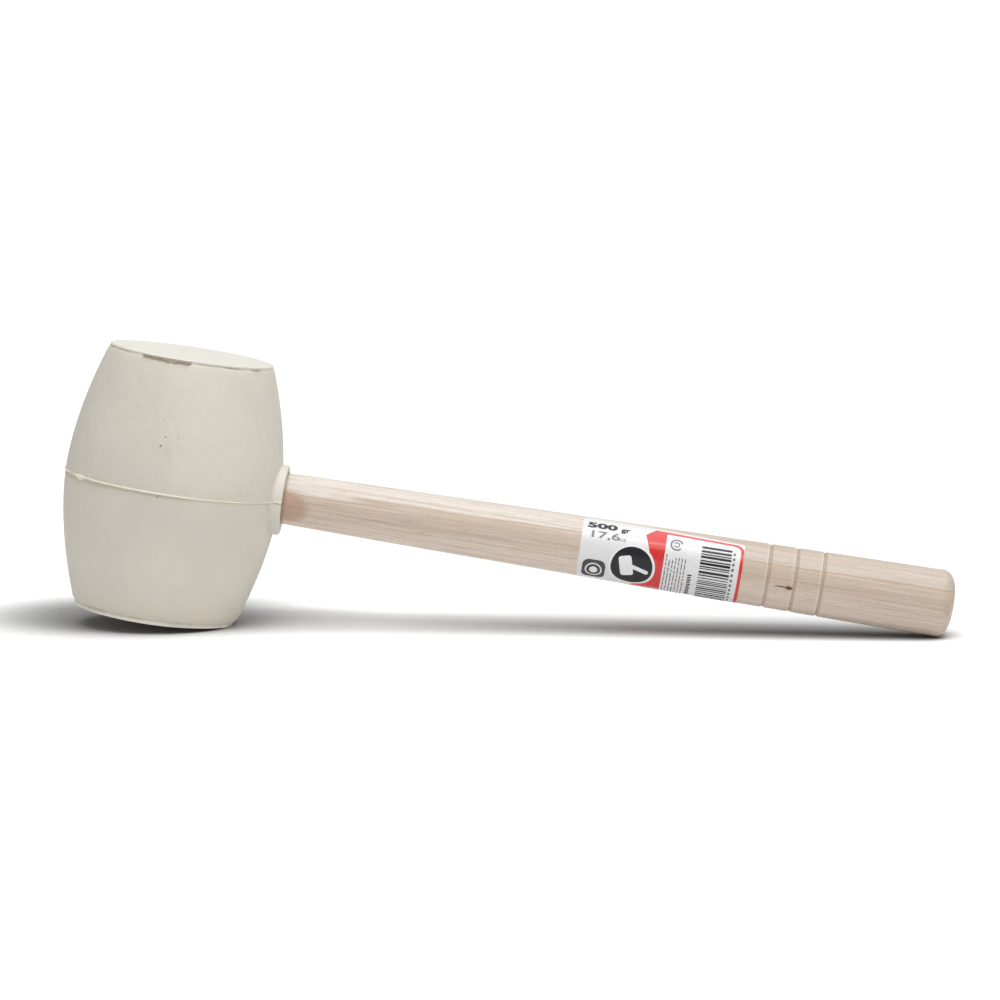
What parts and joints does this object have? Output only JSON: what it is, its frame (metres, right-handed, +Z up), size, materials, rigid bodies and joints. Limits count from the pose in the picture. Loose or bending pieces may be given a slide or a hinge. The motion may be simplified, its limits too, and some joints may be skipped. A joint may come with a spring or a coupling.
{
  "type": "rubber mallet",
  "caption": "White rubber mallet with a barrel-shaped moulded head and a turned beech handle with a grooved grip, for tapping tiles and pavers without marking them.",
  "frame": {"origin": "middle of the bounding box at floor level, with the mallet at rest on the rim of its lower striking face and the underside of the handle's end", "axes": "+X along the floor from the head towards the grip, +Y level and square to the handle, +Z up; the head's axis leans 8.2 degrees towards +X and the handle drops by the same angle"},
  "size_m": [0.3254, 0.0802, 0.1033],
  "materials": {
    "white_rubber": "matte",
    "beech": "matte",
    "wedge_steel": "satin",
    "glue": "satin",
    "label_film": "gloss"
  },
  "bodies": {
    "root": {"rubber_head": "white_rubber", "handle": "beech", "tenon_wedge": "wedge_steel", "glue_sleeve": "glue", "label": "label_film"}
  },
  "joints": []
}
